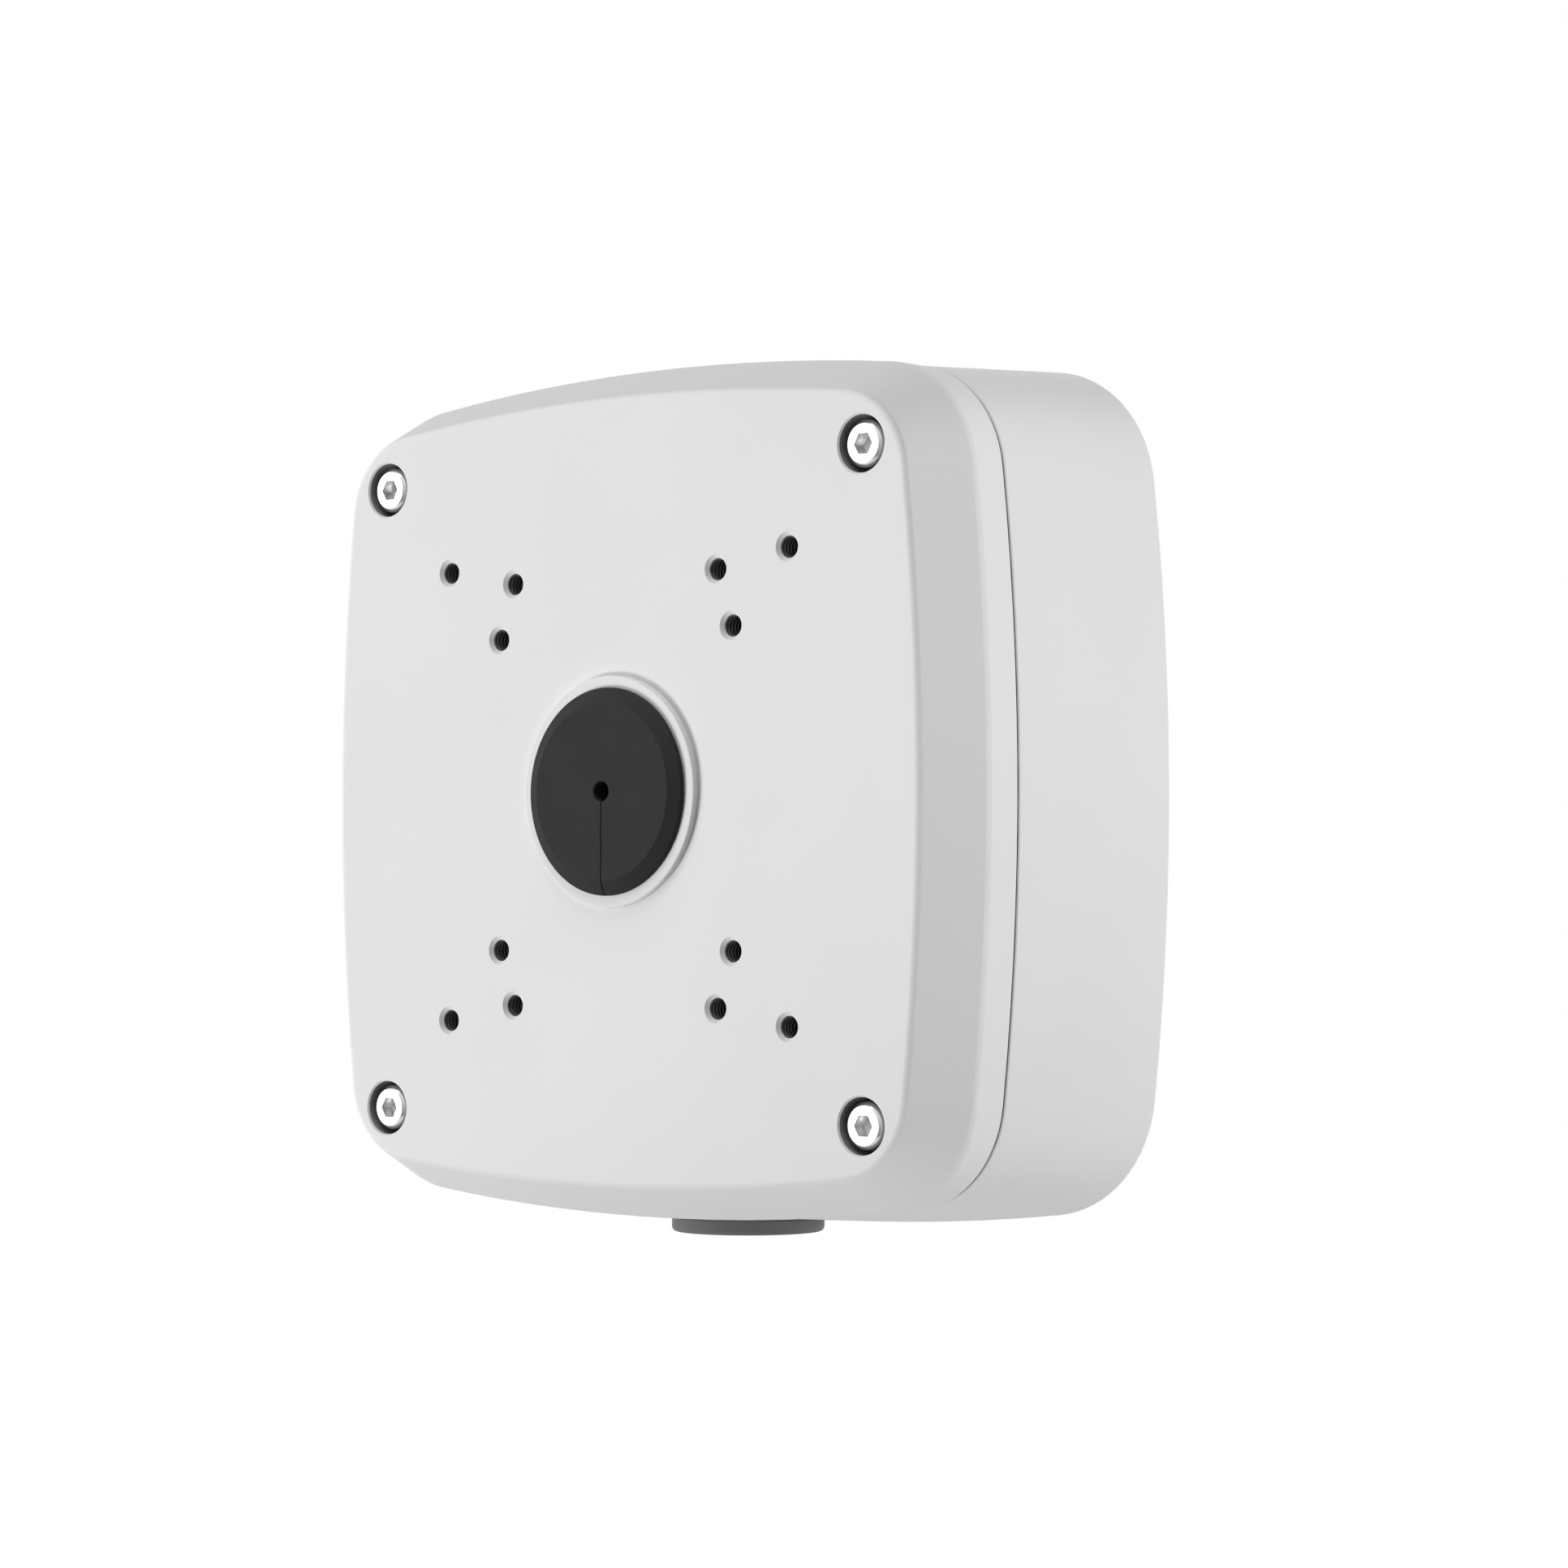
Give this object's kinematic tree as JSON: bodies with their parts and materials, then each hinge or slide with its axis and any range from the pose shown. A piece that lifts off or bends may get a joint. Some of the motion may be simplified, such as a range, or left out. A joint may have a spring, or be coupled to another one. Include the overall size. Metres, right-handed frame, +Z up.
{
  "type": "camera junction box",
  "caption": "Square cast wall box with bulged sides, a screwed cover with tapped camera holes, a round rubber cable grommet and a plugged bottom outlet.",
  "frame": {"origin": "centre of the rear face that lies on the wall", "axes": "+Y into the wall, -Y out of the front of the cover, +Z up, +X to the right as one faces the cover"},
  "size_m": [0.1338, 0.0532, 0.1346],
  "materials": {
    "painted_casting": "die-cast aluminium under a fine matt light grey powder coat",
    "painted_plug": "turned metal plug in the same light grey coat",
    "gasket_rubber": "grey silicone cord, matt",
    "grommet_rubber": "black moulded rubber, matt",
    "ring_rubber": "black rubber rings",
    "screw_steel": "bright stainless steel",
    "plated_steel": "zinc plated steel"
  },
  "bodies": {
    "base": {"base_shell": "painted_casting", "rear_entry_plug": "grommet_rubber", "earth_washer": "plated_steel", "earth_screw": "plated_steel", "wall_seal_1": "ring_rubber", "wall_seal_2": "ring_rubber", "wall_seal_3": "ring_rubber", "wall_seal_4": "ring_rubber"},
    "cover": {"cover": "painted_casting", "cover_gasket": "gasket_rubber", "cable_grommet": "grommet_rubber"},
    "outlet_seal": {"outlet_seal": "ring_rubber"},
    "outlet_plug": {"outlet_plug": "painted_plug"},
    "screw_seal_1": {"screw_seal_1": "ring_rubber"},
    "cover_screw_1": {"cover_screw_1": "screw_steel"},
    "screw_seal_2": {"screw_seal_2": "ring_rubber"},
    "cover_screw_2": {"cover_screw_2": "screw_steel"},
    "screw_seal_3": {"screw_seal_3": "ring_rubber"},
    "cover_screw_3": {"cover_screw_3": "screw_steel"},
    "screw_seal_4": {"screw_seal_4": "ring_rubber"},
    "cover_screw_4": {"cover_screw_4": "screw_steel"}
  },
  "joints": [
    {"name": "cover_lift", "type": "slide", "parent": "base", "child": "cover", "axis": [0, -1, 0], "range_m": [0, 0.06]},
    {"name": "outlet_plug_out", "type": "slide", "parent": "base", "child": "outlet_seal", "axis": [0, 0, -1], "range_m": [0, 0.006]},
    {"name": "outlet_plug_turn", "type": "hinge", "parent": "outlet_seal", "child": "outlet_plug", "pos_m": [0, -0.0197, -0.065], "axis": [0, 0, -1], "range_deg": [0, 1452]},
    {"name": "screw_1_out", "type": "slide", "parent": "cover", "child": "screw_seal_1", "axis": [0, -1, 0], "range_m": [0, 0.00805]},
    {"name": "screw_1_turn", "type": "hinge", "parent": "screw_seal_1", "child": "cover_screw_1", "pos_m": [0.0489, -0.0462, 0.0489], "axis": [0, -1, 0], "range_deg": [0, 4176]},
    {"name": "screw_2_out", "type": "slide", "parent": "cover", "child": "screw_seal_2", "axis": [0, -1, 0], "range_m": [0, 0.00805]},
    {"name": "screw_2_turn", "type": "hinge", "parent": "screw_seal_2", "child": "cover_screw_2", "pos_m": [0.0489, -0.0462, -0.0489], "axis": [0, -1, 0], "range_deg": [0, 4176]},
    {"name": "screw_3_out", "type": "slide", "parent": "cover", "child": "screw_seal_3", "axis": [0, -1, 0], "range_m": [0, 0.00805]},
    {"name": "screw_3_turn", "type": "hinge", "parent": "screw_seal_3", "child": "cover_screw_3", "pos_m": [-0.0489, -0.0462, -0.0489], "axis": [0, -1, 0], "range_deg": [0, 4176]},
    {"name": "screw_4_out", "type": "slide", "parent": "cover", "child": "screw_seal_4", "axis": [0, -1, 0], "range_m": [0, 0.00805]},
    {"name": "screw_4_turn", "type": "hinge", "parent": "screw_seal_4", "child": "cover_screw_4", "pos_m": [-0.0489, -0.0462, 0.0489], "axis": [0, -1, 0], "range_deg": [0, 4176]}
  ],
  "couplings": [
    {"joint": "outlet_plug_turn", "follows": "outlet_plug_out", "rad_per_m": 4188.8},
    {"joint": "screw_1_turn", "follows": "screw_1_out", "rad_per_m": 8976},
    {"joint": "screw_2_turn", "follows": "screw_2_out", "rad_per_m": 8976},
    {"joint": "screw_3_turn", "follows": "screw_3_out", "rad_per_m": 8976},
    {"joint": "screw_4_turn", "follows": "screw_4_out", "rad_per_m": 8976}
  ]
}
